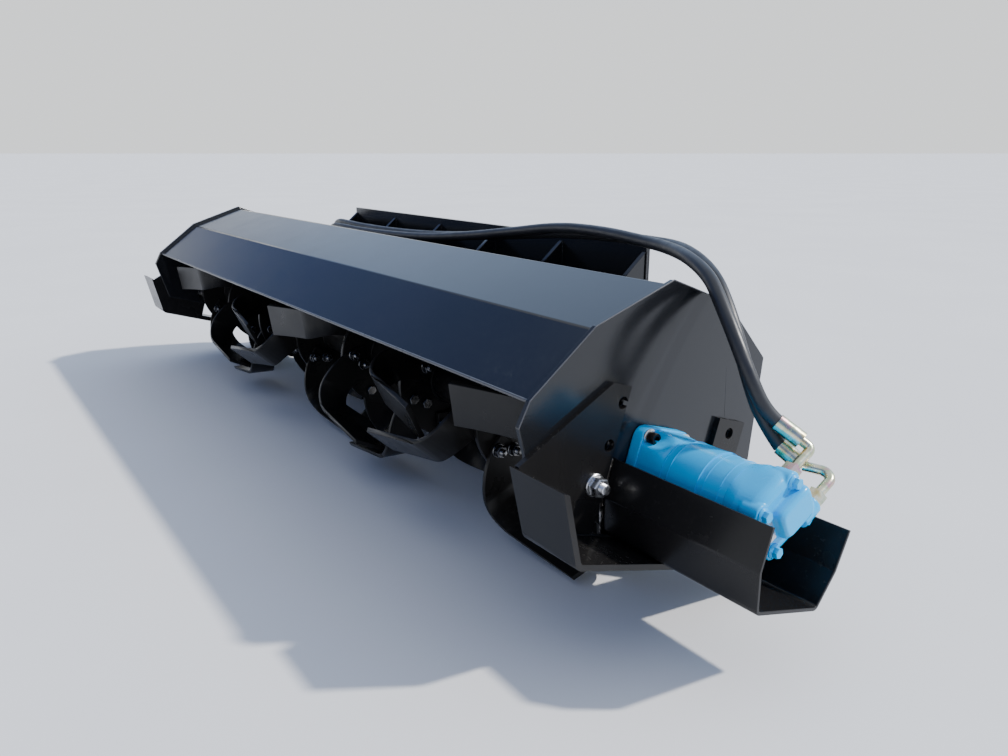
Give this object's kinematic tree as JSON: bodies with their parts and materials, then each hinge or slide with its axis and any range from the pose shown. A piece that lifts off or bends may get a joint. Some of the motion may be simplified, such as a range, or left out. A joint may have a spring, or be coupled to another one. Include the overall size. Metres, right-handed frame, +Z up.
{
  "type": "rotary tiller attachment",
  "caption": "Rotary tiller for a compact loader: folded hood, rotor with L-shaped blades, hydraulic motor in a guard, skid shoes, quick-attach plate and two hoses.",
  "frame": {"origin": "middle of the footprint on the floor", "axes": "+X along the rotor towards the motor, +Y towards the loader, +Z up"},
  "size_m": [2.098, 0.5726, 0.5175],
  "materials": {
    "black_paint": "gloss",
    "rotor_black": "semi-gloss, worn at the edges",
    "motor_blue": "gloss",
    "shaft_steel": "machined",
    "hose_rubber": "matte",
    "zinc": "zinc plated"
  },
  "bodies": {
    "frame": {"coupler_front": "zinc", "coupler_rear": "zinc", "end_plate_far": "black_paint", "end_plate_motor": "black_paint", "hitch_rib_1": "black_paint", "hitch_rib_2": "black_paint", "hitch_rib_3": "black_paint", "hitch_rib_4": "black_paint", "hitch_rib_5": "black_paint", "hitch_rib_6": "black_paint", "hood_shell": "black_paint", "hose_front": "hose_rubber", "hose_rear": "hose_rubber", "loader_plate": "black_paint", "motor_body": "motor_blue", "motor_cap": "motor_blue", "motor_flange": "motor_blue", "motor_guard": "black_paint", "port_fitting_front": "zinc", "port_fitting_rear": "zinc", "rotor_bearing": "black_paint", "skid_shoe_far": "black_paint", "skid_shoe_motor": "black_paint"},
    "rotor": {"blade_flange_1": "rotor_black", "blade_flange_2": "rotor_black", "blade_flange_3": "rotor_black", "blade_flange_4": "rotor_black", "blade_flange_5": "rotor_black", "blade_flange_6": "rotor_black", "blade_flange_7": "rotor_black", "blade_flange_8": "rotor_black", "blades_1": "rotor_black", "blades_2": "rotor_black", "blades_3": "rotor_black", "blades_4": "rotor_black", "blades_5": "rotor_black", "blades_6": "rotor_black", "blades_7": "rotor_black", "blades_8": "rotor_black", "rotor_shaft_far": "shaft_steel", "rotor_shaft_motor": "shaft_steel", "rotor_tube": "rotor_black"}
  },
  "joints": [
    {"name": "rotor_spin", "type": "hinge", "parent": "frame", "child": "rotor", "pos_m": [-0.074, -0.04466, 0.20749], "axis": [1, 0, 0], "continuous": true}
  ]
}
